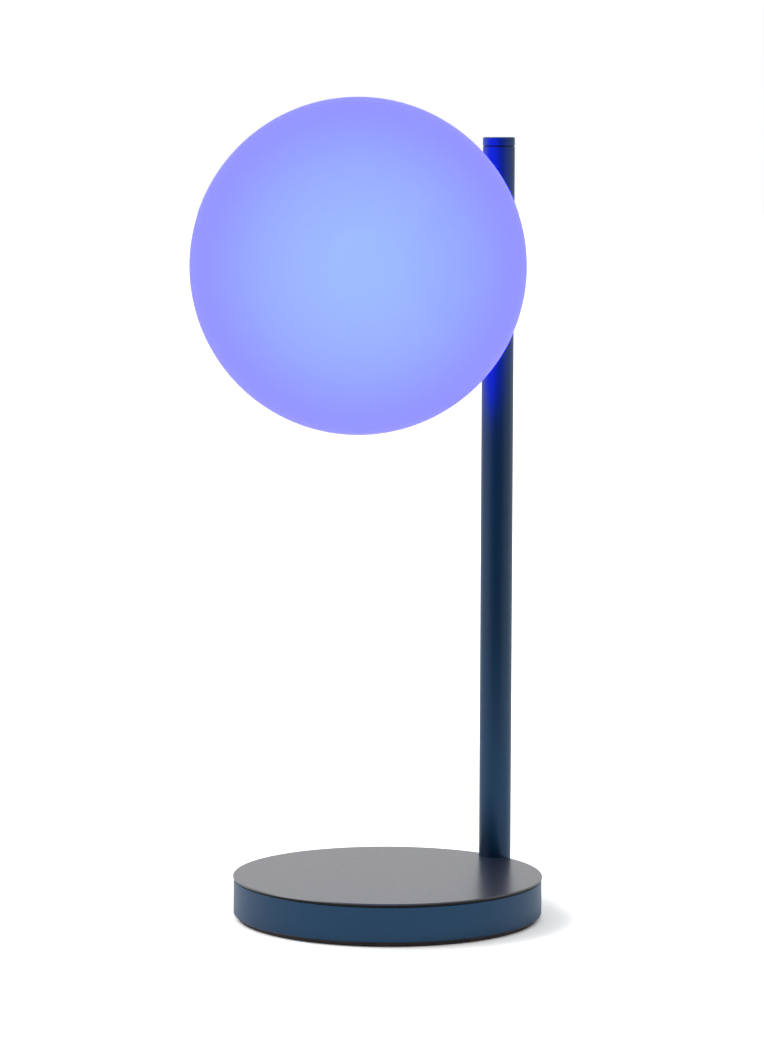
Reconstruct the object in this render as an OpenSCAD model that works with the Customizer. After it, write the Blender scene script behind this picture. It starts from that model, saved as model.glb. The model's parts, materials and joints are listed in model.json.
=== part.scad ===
// Colour-changing globe lamp with a phone-charging base.
// Millimetres, +Z up. The origin is the centre of the base's underside, on the table.
// The post stands at the back (+Y) and the globe hangs in front of it (-Y).

/* [Base] */
// Diameter of the top plate
base_d = 112.5; // [96:0.5:140]
// Height from the table to the charging surface
base_h = 15.5; // [13:0.1:24]
// Thickness of the top plate
plate_t = 1.2; // [1.1:0.1:2]
// How far the top plate stands proud of the wall
plate_lip = 0.25; // [0.1:0.05:0.6]
// Bevel on the top plate's edge
plate_bevel = 0.3; // [0.15:0.05:0.4]
// Height of the dark seal under the top plate's rim
seal_h = 0.7; // [0.4:0.05:0.8]
// How far the seal is set in from the wall
seal_inset = 0.1; // [0.05:0.05:0.4]
// Thickness of the base's side wall
wall_t = 2.4; // [1.8:0.1:3.2]
// Thickness of the rubber foot
foot_h = 1.6; // [1:0.1:2.4]
// How far the foot is set in from the wall
foot_inset = 1.5; // [0.5:0.1:4]
// Thickness of the bottom plate
bottom_t = 1.5; // [1:0.1:2]
// How far the power inlet is turned round from the post
inlet_angle = 40; // [36:1:60]

/* [Post] */
// Outer diameter of the post
post_d = 11.8; // [11.4:0.1:15]
// Wall thickness of the post
post_wall = 1.1; // [0.8:0.05:1.3]
// Height of the top of the button above the table
post_top = 282.5; // [240:0.5:360]
// Visible height of the button cap
cap_h = 3.2; // [2.4:0.1:5]
// Gap between the button cap and the tube
cap_seam = 0.35; // [0.35:0.05:1]
// Travel of the button
button_travel = 0.25; // [0.15:0.05:0.25]

/* [Head] */
// Diameter of the globe
globe_d = 120; // [100:0.5:144]
// Wall thickness of the globe
globe_wall = 2; // [1.6:0.1:3]
// How far the globe's centre lies below the top of the post
globe_drop = 46; // [37.5:0.5:90]
// Clear distance between the globe and the post
globe_gap = 6; // [5:0.1:12]
// Diameter of the head plate that closes the globe
head_plate_d = 48; // [44:0.5:56]
// Thickness of the head plate
head_plate_t = 2; // [1.8:0.1:3]

/* [Hidden] */

$fn = 96;
eps = 0.01;             // overrun of a cutting tool past the face it cuts

// Clearances
fit = 0.1;              // radial gap between parts that are slid together and fixed
loose = 0.15;           // radial gap round a part that only has to clear
slide = 0.05;           // radial gap of a part that slides in a bore
seat = 0.02;            // gap under a part that is clamped on a round face

// Finishes
blue = "#1f3a5c";
steel = "#9aa0a6";
board_green = "#20533a";
rubber_black = "#2a2528";
ivory = "#e8e6e0";

// Base, from the table upwards
plate_r = base_d / 2;
wall_r = plate_r - plate_lip;
inner_r = wall_r - wall_t;
shell_top = base_h - plate_t;
seal_out = wall_r - seal_inset;
seal_in = wall_r - 1.4;
seal_top = shell_top + seal_h;
bottom_top = foot_h + bottom_t;
flange_t = 1.5;                             // inward flange that carries the top plate
flange_w = 9.6;
flange_r = inner_r - flange_w;              // radius of the flange's opening
tray_t = 0.8;
tray_h = 2.3;                               // height of the coil tray
tray_z = shell_top - tray_h;
tray_r = flange_r - fit;
socket_h = 3.2;                             // USB-C receptacle
socket_w = 8.94;
socket_l = 7.3;
board_t = 1;
board_top = tray_z - loose - socket_h;
board_z = board_top - board_t;
sheet_t = 0.3;
ballast_top = board_z - sheet_t;
board_w = 32;
board_l = 31;                               // from the inner edge to the curved outer edge
board_out = inner_r - 2 * loose;            // radius of the board's curved outer edge
board_in = board_out - board_l;
socket_front = wall_r - 0.5;
socket_z = board_top + socket_h / 2;

// Screws that hold the bottom plate, spaced clear of the post and the power inlet
bottom_screw_angles = [25, 160, 205, 270, 335];
boss_r = 3.2;
boss_ring = inner_r - boss_r + 0.4;         // the boss runs 0.4 mm into the wall
m25_r = 1.25;
m25_hole = m25_r + fit;
m25_head_r = 2.25;
m25_head_t = 1.2;
boss_screw_l = 6;

// Post
post_r = post_d / 2;
bore_r = post_r - post_wall;
post_y = plate_r;                           // the post's axis stands on the plate's rim
post_foot = foot_h + 0.4;                   // the tube stops just above the foot pad
notch_r = post_r + fit;
block_w = 20;                               // solid block behind the wall round the notch
block_y = flange_r;
channel_w = 4;                              // lead channel under the block
channel_top = bottom_top + 2.5;
post_screw_x = 2.5;
post_screw_z = (channel_top + shell_top) / 2;
post_screw_end = post_y - 0.05;
post_head_l = 2.5;
post_head_y = block_y + 0.2;                // the heads sit inside the block
plug_h = 24;
bend_room = 1.2;                            // extra height where the leads turn up
lead_bore_r = 1.5;
lead_bore_y = post_y + 1.75;                // the leads run behind the screws
fixed_r = bore_r - slide;                   // what is pressed or bonded into the tube

// Button, from the top downwards
tube_top = post_top - cap_h - cap_seam;
cap_z = post_top - cap_h;
cap_bevel = 0.35;
skirt_l = 3;
skirt_t = 1;
skirt_r = bore_r - slide;
stem_r = 1.5;
stem_socket = 2;
guide_gap = 4.8;                            // room for the spring
guide_top = cap_z - guide_gap;
guide_l = 6.5;
guide_z = guide_top - guide_l;
clip_t = 0.5;
clip_gap = 0.1;
clip_groove = 0.4;
clip_r = 3.2;
clip_z = guide_z - clip_gap - clip_t;
stem_z = guide_z - 4;
plunger_r = 1.7;
plunger_l = 3;
switch_s = 5.8;                             // square switch body
switch_h = 3.5;
switch_top = stem_z - 1.6;
switch_z = switch_top - switch_h;
switch_board_t = 1;
carrier_ledge = 2;
carrier_wall = 0.45;
spring_wire = 0.5;
spring_r = 2.7;                             // to the middle of the wire
spring_turns = 3;

// Head: h is the distance from the globe's centre towards the post
globe_r = globe_d / 2;
globe_z = post_top - globe_drop;
globe_y = post_y - post_r - globe_gap - globe_r;
plate_hr = head_plate_d / 2;
rim_h = sqrt(globe_r * globe_r - plate_hr * plate_hr);  // flat rim cut on the globe
gasket_t = 0.5;
head_h = rim_h + gasket_t;                  // inner face of the head plate
head_back = head_h + head_plate_t;
post_h = post_y - post_r - globe_y;         // nearest point of the post
rim_ring_t = 3;                             // moulded ring inside the globe's rim
rim_ring_r = 13.5;
globe_screw_ring = 16.5;
saddle_r = 5;
neck_r = 3;
neck_bore = 1.7;
neck_y = post_y - 1.2;                      // end of the neck tube inside the post
insert_l = 18;
nut_af = 10;
nut_t = 3;
carrier_flange_r = 12;
carrier_floor = 3;
carrier_r = 9;
carrier_bore = 6.5;
led_h = 6;                                  // the LED board's seat
carrier_end = head_h - carrier_floor;
led_board_t = 1.6;
led_front = led_h - led_board_t;
led_s = 3.5;
led_t = 1.4;
led_ring = 5;
led_screw_ring = 7.75;
m16_r = 0.8;
m16_head_r = 1.4;
m16_head_t = 1;
dome_r = 13;
dome_wall = 1.2;
dome_h = 2;                                 // centre of the small dome
dome_collar = 13;

// Charging coil
coil_r = 24;
coil_hole = 8;
ferrite_t = 0.5;
coil_t = 0.9;
tray_ring_r = 26;
tray_rib_w = 1.2;

// Leads
lamp_lead_d = 1.7;
switch_lead_d = 0.9;
coil_lead_d = 1.2;
lamp_x = 0.5;
switch_x = -0.95;
lead_z = channel_top - 1.25;                // height of the leads in the channel
header_z = board_top + 1.2;
header_x = 13.6;
header_w = 3.4;
header_l = 5;
header_t = 2.4;
lamp_header_y = board_in + 8;
switch_header_y = board_in + 15;
coil_start_x = -12;
coil_start = [coil_start_x, sqrt(pow(coil_r + 1.4, 2) - pow(coil_start_x, 2))];
tray_hole = [-13.3, board_in + 14.7];       // where the coil lead drops through the tray

function on_board(x, y, z) =
    [x * cos(inlet_angle) - y * sin(inlet_angle), x * sin(inlet_angle) + y * cos(inlet_angle), z];

lamp_route = [
    on_board(header_x + header_w / 2 + fit, lamp_header_y, header_z),
    on_board(header_x + header_w / 2 + 4, lamp_header_y, header_z),
    [lamp_x, block_y - 5.5, lead_z],
    [lamp_x, lead_bore_y, lead_z],
    [lamp_x, lead_bore_y, globe_z],
    [lamp_x, globe_y + led_h + fit, globe_z]
];
switch_route = [
    on_board(header_x + header_w / 2 + fit, switch_header_y, header_z),
    on_board(header_x + header_w / 2 + 2.6, switch_header_y, header_z),
    [switch_x, block_y - 3.2, lead_z],
    [switch_x, lead_bore_y, lead_z],
    [switch_x, lead_bore_y, switch_z - switch_board_t - fit]
];
coil_route = [
    on_board(coil_start[0], coil_start[1], tray_z + 1.6),
    on_board(tray_hole[0], tray_hole[1], tray_z + 1.6),
    on_board(tray_hole[0], tray_hole[1], board_top + fit)
];

// Sweeping a round section along a route
function unit(v) = v / norm(v);
// A route with each corner replaced by a short curve of steps + 1 points
function rounded(p, bend, steps = 5) = concat(
    [p[0]],
    [for (i = [1 : len(p) - 2])
        let (d = min(bend, norm(p[i] - p[i - 1]) / 2.01, norm(p[i + 1] - p[i]) / 2.01),
             a = p[i] - d * unit(p[i] - p[i - 1]),
             b = p[i] + d * unit(p[i + 1] - p[i]))
        for (k = [0 : steps])
            let (t = k / steps) (1 - t) * (1 - t) * a + 2 * t * (1 - t) * p[i] + t * t * b],
    [p[len(p) - 1]]
);
function tangents(p) =
    [for (i = [0 : len(p) - 1]) unit(p[min(i + 1, len(p) - 1)] - p[max(i - 1, 0)])];
// A side vector carried from point to point without twisting
function carried(t, u, i = 0) =
    i == len(t) ? [] : let (v = unit(u - (u * t[i]) * t[i])) concat([v], carried(t, v, i + 1));

module sweep(path, d, start_side, sides = 8) {
    t = tangents(path);
    u = carried(t, start_side);
    n = len(path);
    points = [for (i = [0 : n - 1]) for (k = [0 : sides - 1])
        let (a = 360 * k / sides)
        path[i] + d / 2 * (cos(a) * u[i] + sin(a) * cross(t[i], u[i]))];
    skin = [for (i = [0 : n - 2]) for (k = [0 : sides - 1])
        let (k2 = (k + 1) % sides)
        [i * sides + k, (i + 1) * sides + k, (i + 1) * sides + k2, i * sides + k2]];
    ends = [
        [for (k = [0 : sides - 1]) k],
        [for (k = [sides - 1 : -1 : 0]) (n - 1) * sides + k]
    ];
    polyhedron(points = points, faces = concat(skin, ends));
}

// Placing helpers
module in_head() translate([0, globe_y, globe_z]) rotate([-90, 0, 0]) children();
module at_inlet() rotate([0, 0, inlet_angle]) children();
module on_post() translate([0, post_y, 0]) children();
module ring(r_out, r_in, z0, z1) {
    translate([0, 0, z0])
    difference() {
        cylinder(r = r_out, h = z1 - z0);
        translate([0, 0, -eps]) cylinder(r = r_in, h = z1 - z0 + 2 * eps);
    }
}
module disc(r, z0, z1) translate([0, 0, z0]) cylinder(r = r, h = z1 - z0);
// A disc with its upper and lower edges bevelled
module bevelled_disc(r, z0, z1, top = 0, low = 0) {
    if (low > 0) translate([0, 0, z0]) cylinder(r1 = r - low, r2 = r, h = low);
    translate([0, 0, z0 + low]) cylinder(r = r, h = z1 - z0 - low - top);
    if (top > 0) translate([0, 0, z1 - top]) cylinder(r1 = r, r2 = r - top, h = top);
}
module post_notch(z0, z1, r = notch_r) on_post() disc(r, z0, z1);
// A slot with round ends, across X, pointing along Y
module round_slot(w, h, y0, y1) {
    translate([0, y1, 0]) rotate([90, 0, 0]) linear_extrude(y1 - y0) {
        square([w - h, h], center = true);
        for (s = [-1, 1]) translate([s * (w - h) / 2, 0]) circle(d = h, $fn = 48);
    }
}
module at_bottom_screws() {
    for (a = bottom_screw_angles) rotate([0, 0, a]) translate([boss_ring, 0, 0]) children();
}
module at_post_screws() {
    for (s = [-1, 1])
        translate([s * post_screw_x, 0, post_screw_z]) rotate([-90, 0, 0]) children();
}
module at_board_screws() {
    at_inlet() for (p = [[-13, 5], [-13, 24], [5, 5]]) translate([p[0], board_in + p[1], 0]) children();
}
module at_globe_screws() {
    in_head() for (i = [0 : 2]) rotate([0, 0, 30 + 120 * i]) translate([globe_screw_ring, 0, 0]) children();
}

// Base
module foot_pad() color(rubber_black) bevelled_disc(wall_r - foot_inset, 0, foot_h, 0, 0.3);

module bottom_plate() color(steel) difference() {
    disc(inner_r - loose, foot_h, bottom_top);
    post_notch(foot_h - eps, bottom_top + eps);
    at_bottom_screws() {
        disc(m25_hole, foot_h - eps, bottom_top + eps);
        disc(m25_head_r + fit, foot_h - eps, foot_h + m25_head_t);
    }
}

module bottom_screws() color(steel) at_bottom_screws() {
    disc(m25_head_r, foot_h + eps, foot_h + m25_head_t);
    disc(m25_r, foot_h + m25_head_t - eps, bottom_top + boss_screw_l);
}

module rear_block() intersection() {
    disc(inner_r + eps, bottom_top, shell_top - eps);
    translate([-block_w / 2, block_y, 0]) cube([block_w, wall_r, base_h]);
}

module base_shell() color(blue) difference() {
    union() {
        difference() {
            bevelled_disc(wall_r, foot_h, shell_top, 0.25, 0.4);
            disc(inner_r, foot_h - eps, shell_top - flange_t);
            disc(flange_r, foot_h, shell_top + eps);
        }
        at_bottom_screws() disc(boss_r, bottom_top, shell_top - flange_t + eps);
        rear_block();
    }
    post_notch(foot_h - eps, base_h);
    at_bottom_screws() disc(m25_r + slide, bottom_top - eps, bottom_top + boss_screw_l + 1);
    at_post_screws() {
        disc(m25_hole, block_y - eps, post_y);
        disc(m25_head_r + fit, block_y - 1, post_head_y + post_head_l);
    }
    translate([-channel_w / 2, block_y - eps, foot_h]) cube([channel_w, post_y - block_y, channel_top - foot_h]);
    at_inlet() translate([0, 0, socket_z])
        round_slot(socket_w + 2 * loose, socket_h + 2 * loose, inner_r - 1, wall_r + 1);
}

module ballast_weight() color(steel) difference() {
    disc(inner_r - 2 * boss_r - 1.2, bottom_top, ballast_top);
    translate([-block_w / 2 - 2, block_y - 10, bottom_top - eps])
        cube([block_w + 4, wall_r, ballast_top]);
    at_board_screws() disc(m16_r + slide, ballast_top - 1.5, ballast_top + eps);
}

module board_outline(z0, z1, w, inner) intersection() {
    disc(board_out, z0, z1);
    at_inlet() translate([-w / 2, inner, z0]) cube([w, board_l + 1, z1 - z0]);
}

module insulating_sheet() color("#c9a227") difference() {
    intersection() {
        board_outline(ballast_top, board_z, board_w, board_in);
        disc(inner_r - 2 * boss_r - 1.2, ballast_top, board_z);
    }
    at_board_screws() disc(m16_r + fit, ballast_top - eps, board_z + eps);
}

module main_board() color(board_green) difference() {
    board_outline(board_z, board_top, board_w, board_in);
    at_board_screws() disc(m16_r + fit, board_z - eps, board_top + eps);
}

module board_screws() color(steel) at_board_screws() {
    disc(m16_head_r, board_top, board_top + m16_head_t);
    disc(m16_r, ballast_top - 1.3, board_top + eps);
}

module usb_socket() color(steel) at_inlet() translate([0, 0, socket_z]) {
    difference() {
        round_slot(socket_w, socket_h, socket_front - socket_l, socket_front);
        round_slot(socket_w - 0.6, socket_h - 0.6, socket_front - socket_l + 1.2, socket_front + eps);
    }
    translate([-3.35, socket_front - socket_l + 1, -0.35]) cube([6.7, 5.3, 0.7]);
}

module radio_module() color("#c8ccd0") at_inlet() translate([-11, board_in + 8, board_top])
    cube([11, 13, 1.8]);

module power_inductors() color("#3a3a3c") at_inlet()
    for (y = [board_in + 9, board_in + 16]) translate([2, y, board_top]) cube([5, 5, 2]);

module lead_headers() color(ivory) at_inlet()
    for (y = [lamp_header_y, switch_header_y])
        translate([header_x - header_w / 2, y - header_l / 2, board_top]) cube([header_w, header_l, header_t]);

module coil_tray() color(ivory) difference() {
    union() {
        disc(tray_r, tray_z, tray_z + tray_t);
        ring(tray_r, tray_r - 1.5, tray_z, shell_top);
        ring(tray_ring_r + tray_rib_w, tray_ring_r, tray_z, shell_top);
        for (i = [0 : 5]) rotate([0, 0, 60 * i]) translate([tray_ring_r + tray_rib_w / 2, -tray_rib_w / 2, tray_z])
            cube([tray_r - tray_ring_r - tray_rib_w, tray_rib_w, tray_h]);
    }
    at_inlet() {
        translate([coil_start[0] - 2, coil_start[1] - 1, tray_z + tray_t + eps])
            cube([3.2, 5, tray_h]);
        translate([tray_hole[0], tray_hole[1], 0]) disc(1.4, tray_z - eps, tray_z + tray_t + eps);
    }
}

module ferrite_sheet() color("#4a4a4d") disc(coil_r + 1, tray_z + tray_t, tray_z + tray_t + ferrite_t);

module charging_coil() color("#b87333")
    ring(coil_r, coil_hole, tray_z + tray_t + ferrite_t, tray_z + tray_t + ferrite_t + coil_t);

module rim_seal() color(rubber_black) difference() {
    ring(seal_out, seal_in, shell_top, seal_top);
    post_notch(shell_top - eps, base_h);
}

// The seal sits in a rebate under the plate's rim
module top_plate() color(blue) difference() {
    bevelled_disc(plate_r, shell_top, base_h, plate_bevel);
    ring(plate_r + eps, seal_in - slide, shell_top - eps, seal_top);
    post_notch(shell_top - eps, base_h + eps);
}

// Post
module post_tube() color(blue) difference() {
    on_post() ring(post_r, bore_r, post_foot, tube_top);
    at_post_screws() disc(m25_hole, block_y, post_y);
    translate([-channel_w / 2, block_y, post_foot - eps])
        cube([channel_w, post_y - block_y, channel_top - post_foot]);
    translate([0, post_y, globe_z]) rotate([90, 0, 0]) cylinder(r = neck_r + fit, h = post_r + 1);
}

module post_plug() color(steel) difference() {
    on_post() disc(fixed_r, post_foot, post_foot + plug_h);
    at_post_screws() disc(m25_r + slide, block_y, post_screw_end + 0.3);
    translate([-channel_w / 2, block_y, post_foot - eps])
        cube([channel_w, lead_bore_y - block_y, channel_top + bend_room - post_foot]);
    translate([0, lead_bore_y, 0]) {
        disc(lead_bore_r, channel_top, post_foot + plug_h + eps);
        disc(channel_w / 2, post_foot - eps, channel_top + bend_room);
    }
}

module post_screws() color(steel) at_post_screws() {
    disc(m25_head_r, post_head_y, post_head_y + post_head_l - eps);
    disc(m25_r, post_head_y + post_head_l - 2 * eps, post_screw_end);
}

module head_insert() color(steel) difference() {
    on_post() disc(fixed_r, globe_z - insert_l / 2, globe_z + insert_l / 2);
    translate([0, lead_bore_y, 0])
        disc(lead_bore_r, globe_z - insert_l / 2 - eps, globe_z + insert_l / 2 + eps);
    translate([0, lead_bore_y + lead_bore_r / 2, globe_z]) rotate([90, 0, 0])
        cylinder(r = neck_r + slide, h = post_d);
}

module button_guide() color(ivory) on_post()
    ring(fixed_r, stem_r + slide, guide_z, guide_top);

module button_cap() color(blue) on_post() difference() {
    union() {
        bevelled_disc(post_r, cap_z, post_top, cap_bevel, 0.1);
        disc(skirt_r, cap_z - skirt_l, cap_z + eps);
    }
    disc(skirt_r - skirt_t, cap_z - skirt_l - eps, cap_z);
    disc(stem_r, cap_z - eps, cap_z + stem_socket);
}

module button_stem() color(steel) on_post() {
    disc(stem_r, clip_z + clip_t + slide, cap_z + stem_socket);
    disc(stem_r - clip_groove, clip_z - slide - eps, clip_z + clip_t + slide + eps);
    disc(stem_r, stem_z, clip_z - slide);
}

module stem_clip() color(steel) on_post() difference() {
    ring(clip_r, stem_r - clip_groove + slide, clip_z, clip_z + clip_t);
    translate([-stem_r + clip_groove, 0, clip_z - eps])
        cube([2 * (stem_r - clip_groove), clip_r + eps, clip_t + 2 * eps]);
}

module button_spring() color(steel) on_post() {
    low = guide_top + spring_wire / 2 + slide;
    high = cap_z - spring_wire / 2 - slide;
    steps = 20 * spring_turns;
    path = [for (i = [0 : steps])
        let (a = 360 * spring_turns * i / steps)
        [spring_r * cos(a), spring_r * sin(a), low + (high - low) * i / steps]];
    sweep(path, spring_wire, [1, 0, 0]);
}

module switch_plunger() color(rubber_black) on_post() disc(plunger_r, stem_z - plunger_l, stem_z);

module tact_switch() color("#3a3a3c") on_post() difference() {
    translate([-switch_s / 2, -switch_s / 2, switch_z]) cube([switch_s, switch_s, switch_h]);
    disc(plunger_r + slide, stem_z - plunger_l - button_travel - 0.2, switch_top + eps);
}

module switch_board() color(board_green) on_post()
    disc(fixed_r - carrier_wall - slide, switch_z - switch_board_t, switch_z);

module switch_carrier() color(ivory) on_post() difference() {
    disc(fixed_r, switch_z - switch_board_t - carrier_ledge, switch_top);
    disc(fixed_r - carrier_wall, switch_z - switch_board_t, switch_top + eps);
    disc(fixed_r - 3 * carrier_wall, switch_z - switch_board_t - carrier_ledge - eps, switch_z);
}

// Head
module saddle() color(blue) difference() {
    in_head() disc(saddle_r, head_back, post_h + post_r);
    on_post() disc(post_r + seat, globe_z - 2 * saddle_r, globe_z + 2 * saddle_r);
    in_head() disc(neck_r + fit, head_back - eps, post_h + post_r);
}

module neck_tube() color(steel) in_head()
    ring(neck_r, neck_bore, carrier_end - nut_t - 1, neck_y - globe_y);

module head_plate() color(blue) difference() {
    in_head() bevelled_disc(plate_hr, head_h, head_back, 0.4);
    in_head() disc(neck_r + fit, head_h - eps, head_back + eps);
    at_globe_screws() {
        disc(m25_hole, head_h - eps, head_back);
        disc(m25_head_r + fit, head_back - m25_head_t, head_back + eps);
    }
}

module head_gasket() color(rubber_black) difference() {
    in_head() ring(plate_hr - 0.5, rim_ring_r + 0.5, rim_h, head_h);
    at_globe_screws() disc(m25_hole, rim_h - eps, head_h + eps);
}

module globe_screws() color(steel) at_globe_screws() {
    disc(m25_head_r, head_back - m25_head_t + eps, head_back - 0.1);
    disc(m25_r, rim_h - rim_ring_t + 0.3, head_back - m25_head_t + 2 * eps);
}

module lock_nut() color(steel) in_head() difference() {
    translate([0, 0, carrier_end - nut_t]) cylinder(d = nut_af / cos(30), h = nut_t, $fn = 6);
    disc(neck_r + slide, carrier_end - nut_t - eps, carrier_end + eps);
}

module led_carrier() color(steel) in_head() difference() {
    union() {
        disc(carrier_flange_r, carrier_end, head_h);
        disc(carrier_r, led_h, carrier_end + eps);
    }
    disc(carrier_bore, led_h - eps, carrier_end);
    disc(neck_r + fit, carrier_end - eps, head_h + eps);
    for (a = [30, 210]) rotate([0, 0, a]) translate([led_screw_ring, 0, 0])
        disc(m16_r + slide, led_h - eps, led_h + 4);
}

module led_board() color("#f2f2ee") in_head() difference() {
    disc(carrier_r, led_front, led_h);
    for (a = [30, 210]) rotate([0, 0, a]) translate([led_screw_ring, 0, 0])
        disc(m16_r + slide, led_front - eps, led_h + eps);
}

module leds() color("#ffe9a8") in_head() {
    translate([-led_s / 2, -led_s / 2, led_front - led_t]) cube([led_s, led_s, led_t]);
    for (i = [0 : 5]) rotate([0, 0, 60 * i]) translate([led_ring, 0, led_front - led_t])
        translate([-led_s / 2 + 0.6, -led_s / 2 + 0.3, 0]) cube([led_s - 0.6, led_s - 0.6, led_t]);
}

module led_screws() color(steel) in_head()
    for (a = [30, 210]) rotate([0, 0, a]) translate([led_screw_ring, 0, 0]) {
        disc(m16_head_r, led_front - m16_head_t, led_front);
        disc(m16_r, led_front - eps, led_h + 3.5);
    }

module inner_diffuser() color("white") in_head() difference() {
    union() {
        translate([0, 0, dome_h]) sphere(r = dome_r);
        disc(carrier_r + fit + dome_wall, dome_h, dome_collar);
    }
    difference() {
        translate([0, 0, dome_h]) sphere(r = dome_r - dome_wall);
        disc(dome_r, led_h + 1, dome_h + dome_r);
    }
    disc(carrier_r + fit, dome_h, dome_h + dome_r + eps);
}

module globe() color("#9cc0ff") in_head() difference() {
    union() {
        difference() {
            sphere(r = globe_r, $fn = 160);
            sphere(r = globe_r - globe_wall, $fn = 160);
        }
        intersection() {
            sphere(r = globe_r - globe_wall / 2, $fn = 160);
            disc(globe_r, rim_h - rim_ring_t, rim_h + 1);
        }
    }
    disc(globe_r, rim_h, globe_r + 1);
    disc(rim_ring_r, rim_h - rim_ring_t - 5, globe_r);
    for (i = [0 : 2]) rotate([0, 0, 30 + 120 * i]) translate([globe_screw_ring, 0, 0])
        disc(m25_r + slide, rim_h - rim_ring_t - 1, rim_h + 1);
}

// Leads
module lamp_lead() color("#f0f0f0") sweep(rounded(lamp_route, 3.2), lamp_lead_d, [0, 0, 1]);
module switch_lead() color("#d04040") sweep(rounded(switch_route, 2.4), switch_lead_d, [0, 0, 1]);
module coil_lead() color("#f0f0f0") sweep(rounded(coil_route, 1.6), coil_lead_d, [0, 0, 1]);

foot_pad();
bottom_plate();
bottom_screws();
base_shell();
ballast_weight();
insulating_sheet();
main_board();
board_screws();
usb_socket();
radio_module();
power_inductors();
lead_headers();
coil_tray();
ferrite_sheet();
charging_coil();
rim_seal();
top_plate();
post_tube();
post_plug();
post_screws();
head_insert();
button_guide();
button_cap();
button_stem();
stem_clip();
button_spring();
switch_plunger();
tact_switch();
switch_board();
switch_carrier();
saddle();
neck_tube();
head_plate();
head_gasket();
globe_screws();
lock_nut();
led_carrier();
led_board();
leds();
led_screws();
inner_diffuser();
globe();
lamp_lead();
switch_lead();
coil_lead();
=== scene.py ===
"""Globe lamp with a phone-charging base: its finishes, the studio round it and the camera.

Everything is in metres in the part's own frame: +Z up, the post at the back (+Y), the globe in
front of it, the origin in the middle of the base's underside.
"""
import json
import math

import bmesh
import bpy
import numpy as np
from mathutils import Matrix, Vector


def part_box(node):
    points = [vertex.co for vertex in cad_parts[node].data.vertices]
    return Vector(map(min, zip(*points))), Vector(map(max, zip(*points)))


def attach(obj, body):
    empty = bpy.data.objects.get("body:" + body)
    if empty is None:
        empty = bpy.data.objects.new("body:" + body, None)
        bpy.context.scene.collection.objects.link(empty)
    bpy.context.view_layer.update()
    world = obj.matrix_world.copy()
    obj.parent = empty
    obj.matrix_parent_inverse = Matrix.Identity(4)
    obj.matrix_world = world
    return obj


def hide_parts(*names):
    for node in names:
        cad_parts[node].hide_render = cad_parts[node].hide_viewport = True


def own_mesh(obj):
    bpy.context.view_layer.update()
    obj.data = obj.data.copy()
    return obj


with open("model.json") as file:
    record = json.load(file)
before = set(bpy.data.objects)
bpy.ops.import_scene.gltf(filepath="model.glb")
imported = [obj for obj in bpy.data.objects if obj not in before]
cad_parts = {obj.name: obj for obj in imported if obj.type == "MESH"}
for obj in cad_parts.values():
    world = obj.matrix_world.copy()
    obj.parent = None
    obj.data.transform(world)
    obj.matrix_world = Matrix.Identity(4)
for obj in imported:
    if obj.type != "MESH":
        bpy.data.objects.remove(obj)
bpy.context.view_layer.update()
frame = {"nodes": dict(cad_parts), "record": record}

MM = 0.001
GLOBE_WALL = 2 * MM
GLOBE_TINT = 2.07                   # the wall lets exp(-GLOBE_TINT) of the light straight through
GLOBE_STRENGTH = 12.0               # of the light from both its skins
POST_RADIUS = 5.9 * MM
BUTTON_SEAM = 0.35 * MM
SPRING_RADIUS = 2.7 * MM            # to the middle of the wire
SPRING_WIRE = 0.5 * MM              # the wire's diameter
SPRING_TURNS = 3
TURN_STEPS = 40                     # round one turn of the spring
WIRE_STEPS = 12                     # round its wire
SEAL_PLAY = 0.01 * MM               # the seam's soft ring stops this far short of the cap
SEAL_INNER = POST_RADIUS - 1.0 * MM
SEAL_OUTER = POST_RADIUS - 0.25 * MM
SEAL_STEPS = 96                     # round the ring
WELD = 1e-7                         # points closer than this are one point


# ---------------------------------------------------------------- camera

CAMERA_DISTANCE = 1.396646          # level distance from the base's axis
CAMERA_HEIGHT = 0.28028
CAMERA_AZIMUTH = math.radians(45.3677)
CAMERA_YAW = math.radians(0.0988)   # how far it looks past the axis
CAMERA_PITCH = math.radians(5.5506)
CAMERA_ROLL = math.radians(0.1763)
SENSOR = 36.0                       # both in mm, the sensor along the frame's longer side
LENS = 134.47


def make_camera():
    """A long lens looking slightly down, from in front of the lamp and towards its +X side."""
    heading = CAMERA_AZIMUTH + CAMERA_YAW
    ahead = Vector((-math.sin(heading) * math.cos(CAMERA_PITCH),
                    math.cos(heading) * math.cos(CAMERA_PITCH),
                    -math.sin(CAMERA_PITCH)))
    right = Vector((math.cos(heading), math.sin(heading), 0))
    up = right.cross(ahead)
    rolled_right = right * math.cos(CAMERA_ROLL) + up * math.sin(CAMERA_ROLL)
    rolled_up = up * math.cos(CAMERA_ROLL) - right * math.sin(CAMERA_ROLL)
    turn = Matrix((rolled_right, rolled_up, -ahead)).transposed().to_4x4()
    place = Vector((CAMERA_DISTANCE * math.sin(CAMERA_AZIMUTH),
                    -CAMERA_DISTANCE * math.cos(CAMERA_AZIMUTH),
                    CAMERA_HEIGHT))
    lens = bpy.data.cameras.new("camera")
    lens.lens = LENS
    lens.sensor_width = SENSOR
    lens.clip_start = 0.01
    camera = bpy.data.objects.new("camera", lens)
    camera.matrix_world = Matrix.Translation(place) @ turn
    bpy.context.scene.collection.objects.link(camera)
    bpy.context.scene.camera = camera


# ---------------------------------------------------------------- nodes

def linear(hex_colour):
    """The linear colour of an sRGB hex value."""
    parts = [int(hex_colour[i:i + 2], 16) / 255 for i in (1, 3, 5)]
    return [c / 12.92 if c <= 0.04045 else ((c + 0.055) / 1.055) ** 2.4 for c in parts] + [1.0]


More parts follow.
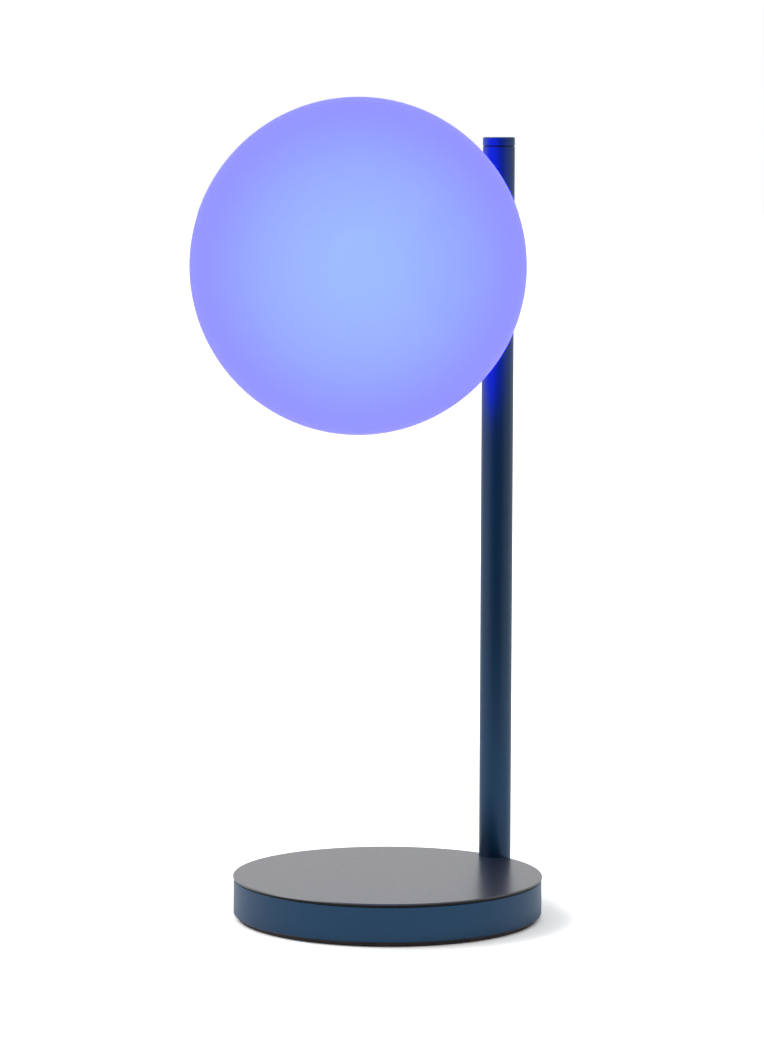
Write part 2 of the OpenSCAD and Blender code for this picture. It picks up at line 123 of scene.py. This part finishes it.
def add(tree, kind, settings=None, **links):
    """Adds one node. Settings are its own properties or unlinked inputs. Links are its wires, each
    by its input's name, or by i and the input's number."""
    node = tree.nodes.new("ShaderNode" + kind)
    for name, value in (settings or {}).items():
        if isinstance(name, str) and hasattr(node, name):
            setattr(node, name, value)
        else:
            node.inputs[name].default_value = value
    for name, source in links.items():
        key = int(name[1:]) if name[0] == "i" and name[1:].isdigit() else name.replace("_", " ")
        tree.links.new(source, node.inputs[key])
    return node


def new_material(name, **surface):
    """A material with one Principled shader set to plain values, and its Object coordinates."""
    finish = bpy.data.materials.new(name)
    finish.use_nodes = True
    tree = finish.node_tree
    shader = tree.nodes["Principled BSDF"]
    for socket, value in surface.items():
        shader.inputs[socket.replace("_", " ")].default_value = value
    place = add(tree, "TexCoord").outputs["Object"]
    return finish, tree, shader, place


def colour_ramp(tree, factor, *stops):
    """A ramp through (position, hex colour) stops, driven by factor."""
    ramp = add(tree, "ValToRGB", Fac=factor)
    bands = ramp.color_ramp
    while len(bands.elements) < len(stops):
        bands.elements.new(0.5)
    for band, (position, colour) in zip(bands.elements, stops):
        band.position = position
        band.color = linear(colour)
    return ramp.outputs["Color"]


def spread(tree, factor, low, high):
    """Maps a 0 to 1 pattern on to low to high."""
    return add(tree, "MapRange", {"To Min": low, "To Max": high}, Value=factor).outputs["Result"]


def raise_surface(tree, shader, height, distance):
    """Lets a pattern stand that far out of the surface, as bump."""
    bump = add(tree, "Bump", {"Distance": distance}, Height=height)
    tree.links.new(bump.outputs["Normal"], shader.inputs["Normal"])


# ---------------------------------------------------------------- finishes

def anodised_blue():
    """Drawn aluminium, bead-blasted and anodised dark blue: dyed metal that mirrors its
    surroundings blurred, more so sideways than up and down because the draw lines run upwards,
    under a clear oxide skin whose own shine turns it grey towards the edges. The blasted grain,
    0.05 mm on the real surface, is drawn at 0.3 mm so that it shows."""
    finish, tree, shader, place = new_material(
        "blasted anodised aluminium", Metallic=0.9, Anisotropic=1.0, Anisotropic_Rotation=0.25,
        Coat_Weight=0.28, Coat_IOR=1.6, Coat_Roughness=0.25)
    upward = add(tree, "CombineXYZ", {"Z": 1.0})
    tree.links.new(upward.outputs["Vector"], shader.inputs["Tangent"])
    grain = add(tree, "TexNoise", {"Scale": 1 / (0.3 * MM), "Detail": 3.0}, Vector=place)
    cloud = add(tree, "TexNoise", {"Scale": 1 / (22 * MM), "Detail": 4.0}, Vector=place)
    tone = colour_ramp(tree, cloud.outputs["Fac"], (0.3, "#043352"), (0.7, "#063757"))
    tree.links.new(tone, shader.inputs["Base Color"])
    tree.links.new(spread(tree, cloud.outputs["Fac"], 0.42, 0.48), shader.inputs["Roughness"])
    raise_surface(tree, shader, grain.outputs["Fac"], 0.010 * MM)
    return finish


def painted_top():
    """Satin metallic paint sprayed on moulded plastic: a clear, even gloss over blue-grey, with
    fine flake and the faint orange peel that spraying leaves. The flake, 0.05 mm on the real
    surface, is drawn at 0.35 mm so that it shows."""
    finish, tree, shader, place = new_material("satin metallic paint", IOR=1.5)
    flake = add(tree, "TexVoronoi", {"Scale": 1 / (0.35 * MM)}, Vector=place)
    peel = add(tree, "TexNoise", {"Scale": 1 / (2.5 * MM), "Detail": 2.0}, Vector=place)
    tone = colour_ramp(tree, flake.outputs["Distance"], (0.0, "#21252D"), (0.6, "#13161C"))
    tree.links.new(tone, shader.inputs["Base Color"])
    tree.links.new(spread(tree, flake.outputs["Distance"], 0.2, 0.0), shader.inputs["Metallic"])
    tree.links.new(spread(tree, peel.outputs["Fac"], 0.27, 0.32), shader.inputs["Roughness"])
    raise_surface(tree, shader, peel.outputs["Fac"], 0.006 * MM)
    return finish


def opal_acrylic():
    """Satin opal acrylic, lit from inside. Its inner skin glows blue-green outwards, into the
    wall, and the pigment there swallows more of that the longer the way out, while its outer skin
    adds an even blue. So the globe is greener in the middle and bluer towards its edge, and
    nothing inside it shows. The satin etch, 0.02 mm on a real globe, is drawn at 0.5 mm."""
    low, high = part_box("globe")
    radius = (high[0] - low[0]) / 2
    middle = ((low[0] + high[0]) / 2, low[1] + radius, (low[2] + high[2]) / 2)
    finish, tree, shader, place = new_material(
        "lit opal acrylic", Base_Color=(1, 1, 1, 1), IOR=1.04, Transmission_Weight=1.0,
        Emission_Strength=GLOBE_STRENGTH)
    reach = add(tree, "VectorMath", {"operation": "DISTANCE", 1: middle}, i0=place)
    outer = add(tree, "Math", {"operation": "GREATER_THAN", 1: radius - GLOBE_WALL / 2},
                i0=reach.outputs["Value"])
    outward = add(tree, "NewGeometry").outputs["Backfacing"]
    # 0 on the inner skin towards the middle, 0.5 on the same skin towards the wall, 1 outside.
    skin = add(tree, "Math", {"operation": "MULTIPLY_ADD", "use_clamp": True, 1: 0.5},
               i0=outward, i2=outer.outputs["Value"])
    glow = colour_ramp(tree, skin.outputs["Value"], (0.0, "#000000"), (0.5, "#25619D"),
                       (1.0, "#2B2BF9"))
    tree.links.new(glow, shader.inputs["Emission Color"])
    haze = add(tree, "TexNoise", {"Scale": 1 / (9 * MM), "Detail": 3.0}, Vector=place)
    tree.links.new(spread(tree, haze.outputs["Fac"], 0.40, 0.50), shader.inputs["Roughness"])
    etch = add(tree, "TexNoise", {"Scale": 1 / (0.5 * MM), "Detail": 2.0}, Vector=place)
    raise_surface(tree, shader, etch.outputs["Fac"], 0.001 * MM)
    pigment = add(tree, "VolumeAbsorption", {"Color": (0, 0, 0, 1),
                                             "Density": GLOBE_TINT / GLOBE_WALL})
    tree.links.new(pigment.outputs["Volume"], tree.nodes["Material Output"].inputs["Volume"])
    return finish


def opal_dome():
    """Moulded opal polycarbonate over the diodes: a small milky dome that glows faintly, with a
    slightly waxy shine and a fine grain."""
    finish, tree, shader, place = new_material(
        "lit opal polycarbonate", Base_Color=linear("#E8F4FF"), Roughness=0.45,
        Emission_Color=linear("#9FD9FF"), Emission_Strength=0.15)
    grain = add(tree, "TexNoise", {"Scale": 1 / (0.4 * MM), "Detail": 2.0}, Vector=place)
    raise_surface(tree, shader, grain.outputs["Fac"], 0.01 * MM)
    return finish


def rubber(name, dark, light, grain):
    """Matt silicone rubber: almost no shine, a fine moulded grain and a little pale dust."""
    finish, tree, shader, place = new_material(name, IOR=1.41)
    dust = add(tree, "TexNoise", {"Scale": 1 / (6 * MM), "Detail": 5.0}, Vector=place)
    tone = colour_ramp(tree, dust.outputs["Fac"], (0.35, dark), (0.75, light))
    tree.links.new(tone, shader.inputs["Base Color"])
    tree.links.new(spread(tree, dust.outputs["Fac"], 0.75, 0.95), shader.inputs["Roughness"])
    pits = add(tree, "TexVoronoi", {"Scale": 1 / grain}, Vector=place)
    raise_surface(tree, shader, pits.outputs["Distance"], 0.05 * MM)
    return finish


def moulded(name, dark, light, gloss, grain):
    """Injection-moulded plastic: an even body colour, flow clouds and a spark-eroded texture,
    drawn coarser than the 0.1 mm of a real part so that it shows."""
    finish, tree, shader, place = new_material(name, IOR=1.53)
    flow = add(tree, "TexNoise", {"Scale": 1 / (8 * MM), "Detail": 3.0, "Distortion": 1.0},
               Vector=place)
    tone = colour_ramp(tree, flow.outputs["Fac"], (0.35, dark), (0.65, light))
    tree.links.new(tone, shader.inputs["Base Color"])
    tree.links.new(spread(tree, flow.outputs["Fac"], gloss, gloss + 0.12),
                   shader.inputs["Roughness"])
    erosion = add(tree, "TexNoise", {"Scale": 1 / grain, "Detail": 2.0}, Vector=place)
    raise_surface(tree, shader, erosion.outputs["Fac"], 0.03 * MM)
    return finish


def drawn_metal(name, dark, light, gloss, stretch, pitch):
    """Rolled, drawn or plated metal: streaks of tone along the way it was worked, and a gloss
    made slightly uneven by handling. pitch, the streaks' width, is coarser than the 0.05 mm of a
    real surface so that they show. stretch scales the pattern along X, Y and Z, and less than 1
    draws the streaks out along that axis."""
    finish, tree, shader, place = new_material(name, Metallic=1.0)
    along = add(tree, "Mapping", {"Scale": stretch}, Vector=place).outputs["Vector"]
    streak = add(tree, "TexNoise", {"Scale": 1 / pitch, "Detail": 4.0}, Vector=along)
    marks = add(tree, "TexNoise", {"Scale": 1 / (5 * MM), "Detail": 6.0}, Vector=place)
    tone = colour_ramp(tree, streak.outputs["Fac"], (0.3, dark), (0.7, light))
    tree.links.new(tone, shader.inputs["Base Color"])
    tree.links.new(spread(tree, marks.outputs["Fac"], gloss - 0.06, gloss + 0.1),
                   shader.inputs["Roughness"])
    raise_surface(tree, shader, streak.outputs["Fac"], 0.008 * MM)
    return finish


def turned_aluminium():
    """Bright turned aluminium: the tool leaves fine rings that glint, one above the other. The
    feed, 0.1 mm on the real part, is drawn at 2.5 mm so that it shows: the wave node goes through
    20 radians in a unit, so a ring is 2 pi times 0.4 mm high."""
    finish, tree, shader, place = new_material("turned aluminium", Metallic=1.0)
    across = add(tree, "Mapping", {"Scale": (0.2, 0.2, 1.0)}, Vector=place).outputs["Vector"]
    rings = add(tree, "TexWave", {"bands_direction": "Z", "Scale": 1 / (20 * 0.4 * MM),
                                  "Distortion": 0.4}, Vector=across)
    tone = colour_ramp(tree, rings.outputs["Fac"], (0.0, "#B9BBBE"), (1.0, "#DADBDC"))
    tree.links.new(tone, shader.inputs["Base Color"])
    tree.links.new(spread(tree, rings.outputs["Fac"], 0.22, 0.34), shader.inputs["Roughness"])
    raise_surface(tree, shader, rings.outputs["Fac"], 0.012 * MM)
    return finish


def circuit_board():
    """Glass-epoxy board: green solder mask, paler and raised where copper tracks run under it."""
    finish, tree, shader, place = new_material("solder mask on glass-epoxy", IOR=1.55,
                                               Roughness=0.3)
    tracks = add(tree, "TexVoronoi", {"distance": "CHEBYCHEV", "feature": "F2",
                                      "Scale": 1 / (2.4 * MM)}, Vector=place)
    band = add(tree, "Math", {"operation": "PINGPONG", 1: 0.14}, i0=tracks.outputs["Distance"])
    tone = colour_ramp(tree, band.outputs["Value"], (0.06, "#0B3B22"), (0.09, "#1C6B40"))
    tree.links.new(tone, shader.inputs["Base Color"])
    raise_surface(tree, shader, band.outputs["Value"], 0.2 * MM)
    return finish


def white_mask():
    """White solder mask on an aluminium-cored board, with faint grey flux marks."""
    finish, tree, shader, place = new_material("white solder mask", IOR=1.5, Roughness=0.35)
    flux = add(tree, "TexNoise", {"Scale": 1 / (2 * MM), "Detail": 5.0}, Vector=place)
    tone = colour_ramp(tree, flux.outputs["Fac"], (0.3, "#D9D9D2"), (0.6, "#F1F1EC"))
    tree.links.new(tone, shader.inputs["Base Color"])
    raise_surface(tree, shader, flux.outputs["Fac"], 0.02 * MM)
    return finish


def sintered_ferrite():
    """Sintered ferrite: near-black ceramic, dull, and darker in its small open pits, which is
    painted shade.
    """
    finish, tree, shader, place = new_material("sintered ferrite", IOR=2.0, Roughness=0.55)
    pits_and_pit_shade = add(tree, "TexVoronoi", {"Scale": 1 / (0.5 * MM)}, Vector=place)
    # Painted shade: the tone is darker where the pits sink in.
    tone = colour_ramp(tree, pits_and_pit_shade.outputs["Distance"], (0.1, "#18181A"), (0.5, "#2E2E31"))
    tree.links.new(tone, shader.inputs["Base Color"])
    raise_surface(tree, shader, pits_and_pit_shade.outputs["Distance"], 0.05 * MM)
    return finish


def wound_copper():
    """Enamelled copper wire wound flat: round turns, copper on their crowns and dark brown in the
    grooves between them. The turns go round the base's axis, one wire's width apart."""
    wire = 0.8 * MM
    finish, tree, shader, place = new_material("enamelled copper winding", Metallic=1.0,
                                               Roughness=0.28)
    flat = add(tree, "VectorMath", {"operation": "MULTIPLY", 1: (1, 1, 0)}, i0=place)
    radius = add(tree, "VectorMath", {"operation": "LENGTH"}, i0=flat.outputs["Vector"])
    turns = add(tree, "Math", {"operation": "PINGPONG", 1: wire / 2}, i0=radius.outputs["Value"])
    crown = add(tree, "MapRange", {"From Max": wire / 2}, Value=turns.outputs["Value"])
    tone = colour_ramp(tree, crown.outputs["Result"], (0.05, "#3A1C10"), (0.4, "#C0703F"))
    tree.links.new(tone, shader.inputs["Base Color"])
    raise_surface(tree, shader, crown.outputs["Result"], 0.3 * MM)
    return finish


def amber_film():
    """Polyimide film: thin, glossy amber with slight waves where it was glued down."""
    finish, tree, shader, place = new_material("polyimide film", IOR=1.7, Roughness=0.15,
                                               Transmission_Weight=0.4)
    waves = add(tree, "TexNoise", {"Scale": 1 / (10 * MM), "Detail": 1.0}, Vector=place)
    tone = colour_ramp(tree, waves.outputs["Fac"], (0.3, "#B0740E"), (0.7, "#D6961F"))
    tree.links.new(tone, shader.inputs["Base Color"])
    raise_surface(tree, shader, waves.outputs["Fac"], 0.15 * MM)
    return finish


def phosphor():
    """Silicone with yellow phosphor over each diode: soft, slightly glossy and finely grained. The
    grains, 0.02 mm on the real part, are drawn at 0.15 mm."""
    finish, tree, shader, place = new_material("phosphor in silicone", IOR=1.41, Roughness=0.3)
    grains = add(tree, "TexVoronoi", {"Scale": 1 / (0.15 * MM)}, Vector=place)
    tone = colour_ramp(tree, grains.outputs["Distance"], (0.0, "#F2D27A"), (0.7, "#E0B94A"))
    tree.links.new(tone, shader.inputs["Base Color"])
    raise_surface(tree, shader, grains.outputs["Distance"], 0.01 * MM)
    return finish


def cable_jacket(name, dark, light):
    """Extruded PVC: semi-matt, its tone and gloss slightly uneven with the jacket's ripple."""
    finish, tree, shader, place = new_material(name, IOR=1.53)
    ripple = add(tree, "TexNoise", {"Scale": 1 / (1.5 * MM), "Detail": 4.0}, Vector=place)
    tone = colour_ramp(tree, ripple.outputs["Fac"], (0.3, dark), (0.7, light))
    tree.links.new(tone, shader.inputs["Base Color"])
    tree.links.new(spread(tree, ripple.outputs["Fac"], 0.4, 0.6), shader.inputs["Roughness"])
    raise_surface(tree, shader, ripple.outputs["Fac"], 0.05 * MM)
    return finish


FINISHES = {
    "blue_anodised": anodised_blue,
    "blue_painted_top": painted_top,
    "opal_globe": opal_acrylic,
    "opal_dome": opal_dome,
    "foot_rubber": lambda: rubber("foot silicone", "#2A2224", "#3B3334", 0.6 * MM),
    # Black silicone for the seals. Its near-black is also painted shade for the seams that it
    # fills.
    "gasket_rubber": lambda: rubber("gasket silicone darkened as seam shade", "#08080B", "#101014", 0.4 * MM),
    "zinc_steel": lambda: drawn_metal("zinc-plated steel", "#9A9EA4", "#C3C6CA", 0.34,
                                      (0.15, 1, 1), 0.5 * MM),
    "ballast_steel": lambda: drawn_metal("oiled mild steel", "#5A5B5E", "#7C7D80", 0.42,
                                         (1, 0.1, 1), 0.8 * MM),
    "stainless": lambda: drawn_metal("drawn stainless steel", "#A9A8A6", "#CFCECB", 0.2,
                                     (1, 1, 0.2), 0.2 * MM),
    "nickel": lambda: drawn_metal("nickel-plated steel", "#A8A59E", "#C9C6BF", 0.18,
                                  (1, 1, 0.3), 0.3 * MM),
    "tinned_can": lambda: drawn_metal("tin-plated steel", "#A6A9AB", "#C6C8CA", 0.26,
                                      (0.2, 1, 1), 0.4 * MM),
    "raw_aluminium": turned_aluminium,
    "board_laminate": circuit_board,
    "white_board": white_mask,
    "ferrite_black": sintered_ferrite,
    "copper_coil": wound_copper,
    "ivory_plastic": lambda: moulded("ivory ABS", "#CFCBBF", "#DEDBD1", 0.4, 0.35 * MM),
    "black_plastic": lambda: moulded("black PBT", "#141416", "#1F1F22", 0.35, 0.3 * MM),
    "film_amber": amber_film,
    "led_yellow": phosphor,
    "lead_white": lambda: cable_jacket("white PVC", "#D6D6D3", "#E8E8E6"),
    "lead_red": lambda: cable_jacket("red PVC", "#A81E1E", "#C4302C"),
}


made = {}                           # the finish made for each slot


def dress(subparts):
    """Gives each CAD node the finish of its slot."""
    for row in subparts:
        slot = row["material_slot"]
        if slot not in made:
            made[slot] = FINISHES[slot]()
        for surface in frame["nodes"][row["node"]].material_slots:
            surface.material = made[slot]


# ---------------------------------------------------------------- pieces between the tube and the button's cap

def grid_piece(name, rings, slot):
    """A closed piece from rings of points, an array of rings by points by XYZ. Each ring closes on
    itself and is joined to the next. Points that meet, at a pole or where the last ring is the
    first, are merged."""
    number = np.arange(rings.shape[0] * rings.shape[1]).reshape(rings.shape[:2])
    here, there = number[:-1], number[1:]
    faces = np.stack((here, np.roll(here, -1, 1), np.roll(there, -1, 1), there), axis=-1)
    mesh = bpy.data.meshes.new(name)
    mesh.from_pydata(rings.reshape(-1, 3).tolist(), [], faces.reshape(-1, 4).tolist())
    shell = bmesh.new()
    shell.from_mesh(mesh)
    bmesh.ops.remove_doubles(shell, verts=shell.verts, dist=WELD)
    bmesh.ops.recalc_face_normals(shell, faces=shell.faces)
    shell.to_mesh(mesh)
    shell.free()
    mesh.materials.append(made[slot])
    piece = bpy.data.objects.new(name, mesh)
    bpy.context.scene.collection.objects.link(piece)
    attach(piece, "lamp")
    return piece


def squeeze(piece):
    """Gives a piece between tube and cap a mesh of its own."""
    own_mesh(piece)


def make_return_spring():
    """Coil spring under the cap. Its wire's middle climbs evenly as it goes three times round the
    post's axis; a point is the middle plus the wire's radius times the cosine of v outwards and
    the sine of v across both outwards and the way along. The radius is nought at both ends."""
    low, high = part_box("button_spring")
    axis_x, axis_y = (low[0] + high[0]) / 2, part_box("post_tube")[0][1] + POST_RADIUS
    climb = high[2] - low[2] - SPRING_WIRE
    whole = 2 * math.pi * SPRING_TURNS
    u = np.linspace(0, whole, TURN_STEPS * SPRING_TURNS + 1)[:, None, None]
    v = np.linspace(0, 2 * math.pi, WIRE_STEPS, endpoint=False)[None, :, None]
    outwards = np.concatenate((np.cos(u), np.sin(u), 0 * u), axis=2)
    along = np.concatenate((-np.sin(u), np.cos(u), 0 * u + climb / (whole * SPRING_RADIUS)), axis=2)
    along /= np.linalg.norm(along, axis=2, keepdims=True)
    rise = np.cross(outwards, along)
    middle = outwards * SPRING_RADIUS + [axis_x, axis_y, low[2] + SPRING_WIRE / 2]
    middle[..., 2:] += climb * u / whole
    rings = middle + SPRING_WIRE / 2 * (outwards * np.cos(v) + rise * np.sin(v))
    rings = np.concatenate((0 * rings[:1] + middle[:1], rings, 0 * rings[:1] + middle[-1:]))
    piece = grid_piece("return_spring", rings, "stainless")
    piece.data.polygons.foreach_set("use_smooth", [True] * len(piece.data.polygons))
    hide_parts("button_spring")
    squeeze(piece)


def make_seam_seal():
    """Soft ring that fills the seam under the cap, a little inside the tube's face. Its near-black
    rubber also stands in as painted shade in the seam. A rectangle from inner to outer radius and
    from the tube's end to the cap is carried once round the post's axis."""
    low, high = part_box("post_tube")
    axis_x, axis_y, end = (low[0] + high[0]) / 2, low[1] + POST_RADIUS, high[2]
    top = end + BUTTON_SEAM - SEAL_PLAY
    u = np.linspace(0, 2 * math.pi, SEAL_STEPS + 1)[:, None]
    radius = np.array([SEAL_INNER, SEAL_OUTER, SEAL_OUTER, SEAL_INNER])
    height = np.array([end, end, top, top])
    rings = np.stack((axis_x + radius * np.cos(u), axis_y + radius * np.sin(u),
                      height + 0 * u), axis=-1)
    piece = grid_piece("seam_seal", rings, "gasket_rubber")
    squeeze(piece)


# ---------------------------------------------------------------- studio

FLOOR_WIDTH = 12.0
FLOOR_FRONT = 0.35                  # the sheet ends here, on the camera's side
FLOOR_BACK = 14.0
FACING = math.degrees(CAMERA_AZIMUTH)
# The surroundings' brightness is the sum of two levels. Each row has an azimuth, the cosine of
# the angle from it where the level starts to change, the cosine where it has changed, the level
# elsewhere and the level there.
WORLD_LEVELS = ((FACING, 0.4, 0.98, 1.15, 0.15),
                (FACING - 110, 0.3, 0.9, 0.0, 0.5))


def toward(azimuth, elevation, distance=1.0):
    """A point that far from the origin; azimuth 0 is in front (-Y) and 90 is at +X."""
    a, e = math.radians(azimuth), math.radians(elevation)
    return Vector((math.sin(a) * math.cos(e), -math.cos(a) * math.cos(e), math.sin(e))) * distance


def make_floor():
    """A pale, matt sheet under the lamp that runs a long way behind it."""
    ahead = toward(FACING, 0)
    aside = toward(FACING + 90, 0) * FLOOR_WIDTH / 2
    front, back = ahead * FLOOR_FRONT, -ahead * FLOOR_BACK
    corners = [front - aside, front + aside, back + aside, back - aside]
    mesh = bpy.data.meshes.new("floor")
    mesh.from_pydata(corners, [], [(0, 1, 2, 3)])
    finish, tree, shader, place = new_material("matt white paper", IOR=1.4, Roughness=0.95)
    fibre = add(tree, "TexNoise", {"Scale": 1 / (1.2 * MM), "Detail": 3.0}, Vector=place)
    tone = colour_ramp(tree, fibre.outputs["Fac"], (0.3, "#F0F0F0"), (0.7, "#F4F4F4"))
    tree.links.new(tone, shader.inputs["Base Color"])
    mesh.materials.append(finish)
    floor = bpy.data.objects.new("floor", mesh)
    bpy.context.scene.collection.objects.link(floor)


def keep_glow_on_lamp():
    """The globe and its dome light the CAD pieces but not the floor, which stays plain white."""
    lit = bpy.data.collections.new("lit by the globe")
    for piece in frame["nodes"].values():
        lit.objects.link(piece)
    for glowing in ("globe", "inner_diffuser"):
        frame["nodes"][glowing].light_linking.receiver_collection = lit


def sun(name, azimuth, elevation, strength, width):
    """A far, soft light that is the same all over the floor. width is the angle that it fills.
    All three angles are in degrees."""
    light = bpy.data.lights.new(name, "SUN")
    light.energy = strength
    light.angle = math.radians(width)
    lamp = bpy.data.objects.new(name, light)
    turn = toward(azimuth, elevation).to_track_quat("Z", "Y")
    lamp.matrix_world = turn.to_matrix().to_4x4()
    bpy.context.scene.collection.objects.link(lamp)


def make_studio():
    """White surroundings, dim behind the camera and brighter to its left, a soft key light from
    the left and one from above. Seen directly, the surroundings are plain white."""
    scene = bpy.context.scene
    scene.view_settings.view_transform = "Standard"
    world = bpy.data.worlds.new("studio")
    scene.world = world
    world.use_nodes = True
    tree = world.node_tree
    shader = tree.nodes["Background"]
    shader.inputs["Color"].default_value = (1, 1, 1, 1)
    heading = add(tree, "TexCoord").outputs["Generated"]
    levels = []
    for azimuth, edge, full, elsewhere, there in WORLD_LEVELS:
        share = add(tree, "VectorMath", {"operation": "DOT_PRODUCT", 1: toward(azimuth, 0)},
                    i0=heading)
        level = add(tree, "MapRange", {"interpolation_type": "SMOOTHSTEP", "From Min": edge,
                                       "From Max": full, "To Min": elsewhere, "To Max": there},
                    Value=share.outputs["Value"])
        levels.append(level.outputs["Result"])
    both = add(tree, "Math", i0=levels[0], i1=levels[1])
    seen = add(tree, "LightPath").outputs["Is Camera Ray"]
    shown = add(tree, "Mix", {"B": 1.0}, Factor=seen, A=both.outputs["Value"])
    tree.links.new(shown.outputs["Result"], shader.inputs["Strength"])
    sun("key light", azimuth=FACING - 100, elevation=50, strength=1.6, width=36)
    sun("top light", azimuth=FACING, elevation=88, strength=0.8, width=110)


# ---------------------------------------------------------------- the scene

make_camera()
dress(frame["record"]["subparts"])
make_return_spring()
make_seam_seal()
keep_glow_on_lamp()
make_floor()
make_studio()
